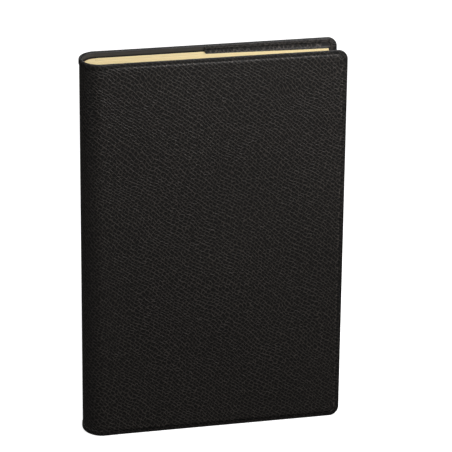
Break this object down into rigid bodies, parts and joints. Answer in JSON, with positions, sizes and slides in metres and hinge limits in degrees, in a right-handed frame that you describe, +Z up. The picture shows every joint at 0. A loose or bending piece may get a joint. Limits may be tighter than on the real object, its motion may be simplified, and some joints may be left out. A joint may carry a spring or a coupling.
{
  "type": "desk diary",
  "caption": "Upright desk diary: padded grained leatherette slip cover with welded edges, inner pocket flaps and a sewn page block tucked in by its card covers.",
  "frame": {"origin": "middle of the footprint, on the surface that the closed diary stands on", "axes": "+Z up along the spine, +X from the spine to the fore-edge, -Y out of the front cover"},
  "size_m": [0.144, 0.025, 0.216],
  "materials": {
    "leatherette": "fine cross-grained black leatherette, satin",
    "cover_lining": "smooth dark grey-brown lining with a faint horizontal draw",
    "padding_foam": "matte foam sheet",
    "cover_board": "grey-brown board",
    "black_card": "black card, matte",
    "cream_card": "thin cream card, matte",
    "page_paper": "cream paper, cut edges",
    "backing_kraft": "brown kraft paper",
    "sewing_thread": "undyed linen thread"
  },
  "bodies": {
    "root": {"spine_skin": "leatherette", "spine_stiffener": "cover_board", "spine_lining": "cover_lining", "card_cover_spine": "black_card", "backing_strip": "backing_kraft", "sewn_back": "page_paper", "sewing_thread_1": "sewing_thread", "sewing_thread_2": "sewing_thread", "sewing_thread_3": "sewing_thread", "sewing_thread_4": "sewing_thread"},
    "front_cover": {"front_cover_skin": "leatherette", "front_cover_foam": "padding_foam", "front_cover_board": "cover_board", "front_cover_lining": "cover_lining", "front_pocket_flap": "leatherette", "front_card_cover": "black_card"},
    "back_cover": {"back_cover_skin": "leatherette", "back_cover_foam": "padding_foam", "back_cover_board": "cover_board", "back_cover_lining": "cover_lining", "back_pocket_flap": "leatherette", "back_card_cover": "black_card", "booklet_cover": "cream_card", "booklet_leaves": "page_paper"},
    "pages_01": {"front_endpaper": "page_paper", "page_section_01": "page_paper"},
    "pages_02": {"page_section_02": "page_paper"},
    "pages_03": {"page_section_03": "page_paper"},
    "pages_04": {"page_section_04": "page_paper"},
    "pages_05": {"page_section_05": "page_paper"},
    "pages_06": {"page_section_06": "page_paper"},
    "pages_07": {"page_section_07": "page_paper"},
    "pages_08": {"page_section_08": "page_paper"},
    "pages_09": {"page_section_09": "page_paper"},
    "pages_10": {"page_section_10": "page_paper", "back_endpaper": "page_paper"}
  },
  "joints": [
    {"name": "front_cover_hinge", "type": "hinge", "parent": "root", "child": "front_cover", "pos_m": [-0.06165, -0.01248, 0], "axis": [0, 0, -1], "range_deg": [0, 175]},
    {"name": "page_turn_01", "type": "hinge", "parent": "root", "child": "pages_01", "pos_m": [-0.06165, -0.00893, 0], "axis": [0, 0, -1], "range_deg": [0, 78.8]},
    {"name": "page_turn_02", "type": "hinge", "parent": "root", "child": "pages_02", "pos_m": [-0.06165, -0.00893, 0], "axis": [0, 0, -1], "range_deg": [0, 63.1]},
    {"name": "page_turn_03", "type": "hinge", "parent": "root", "child": "pages_03", "pos_m": [-0.06165, -0.00893, 0], "axis": [0, 0, -1], "range_deg": [0, 47.3]},
    {"name": "page_turn_04", "type": "hinge", "parent": "root", "child": "pages_04", "pos_m": [-0.06165, -0.00893, 0], "axis": [0, 0, -1], "range_deg": [0, 31.6]},
    {"name": "page_turn_05", "type": "hinge", "parent": "root", "child": "pages_05", "pos_m": [-0.06165, -0.00893, 0], "axis": [0, 0, -1], "range_deg": [0, 15.8]},
    {"name": "back_cover_hinge", "type": "hinge", "parent": "root", "child": "back_cover", "pos_m": [-0.06165, 0.01248, 0], "axis": [0, 0, 1], "range_deg": [0, 175]},
    {"name": "page_turn_06", "type": "hinge", "parent": "root", "child": "pages_06", "pos_m": [-0.06165, 0.00543, 0], "axis": [0, 0, 1], "range_deg": [0, 15.8]},
    {"name": "page_turn_07", "type": "hinge", "parent": "root", "child": "pages_07", "pos_m": [-0.06165, 0.00543, 0], "axis": [0, 0, 1], "range_deg": [0, 31.6]},
    {"name": "page_turn_08", "type": "hinge", "parent": "root", "child": "pages_08", "pos_m": [-0.06165, 0.00543, 0], "axis": [0, 0, 1], "range_deg": [0, 47.3]},
    {"name": "page_turn_09", "type": "hinge", "parent": "root", "child": "pages_09", "pos_m": [-0.06165, 0.00543, 0], "axis": [0, 0, 1], "range_deg": [0, 63.1]},
    {"name": "page_turn_10", "type": "hinge", "parent": "root", "child": "pages_10", "pos_m": [-0.06165, 0.00543, 0], "axis": [0, 0, 1], "range_deg": [0, 78.8]}
  ],
  "couplings": [
    {"joint": "page_turn_01", "follows": "front_cover_hinge", "ratio": 0.45},
    {"joint": "page_turn_02", "follows": "front_cover_hinge", "ratio": 0.36},
    {"joint": "page_turn_03", "follows": "front_cover_hinge", "ratio": 0.27},
    {"joint": "page_turn_04", "follows": "front_cover_hinge", "ratio": 0.18},
    {"joint": "page_turn_05", "follows": "front_cover_hinge", "ratio": 0.09},
    {"joint": "page_turn_06", "follows": "back_cover_hinge", "ratio": 0.09},
    {"joint": "page_turn_07", "follows": "back_cover_hinge", "ratio": 0.18},
    {"joint": "page_turn_08", "follows": "back_cover_hinge", "ratio": 0.27},
    {"joint": "page_turn_09", "follows": "back_cover_hinge", "ratio": 0.36},
    {"joint": "page_turn_10", "follows": "back_cover_hinge", "ratio": 0.45}
  ]
}
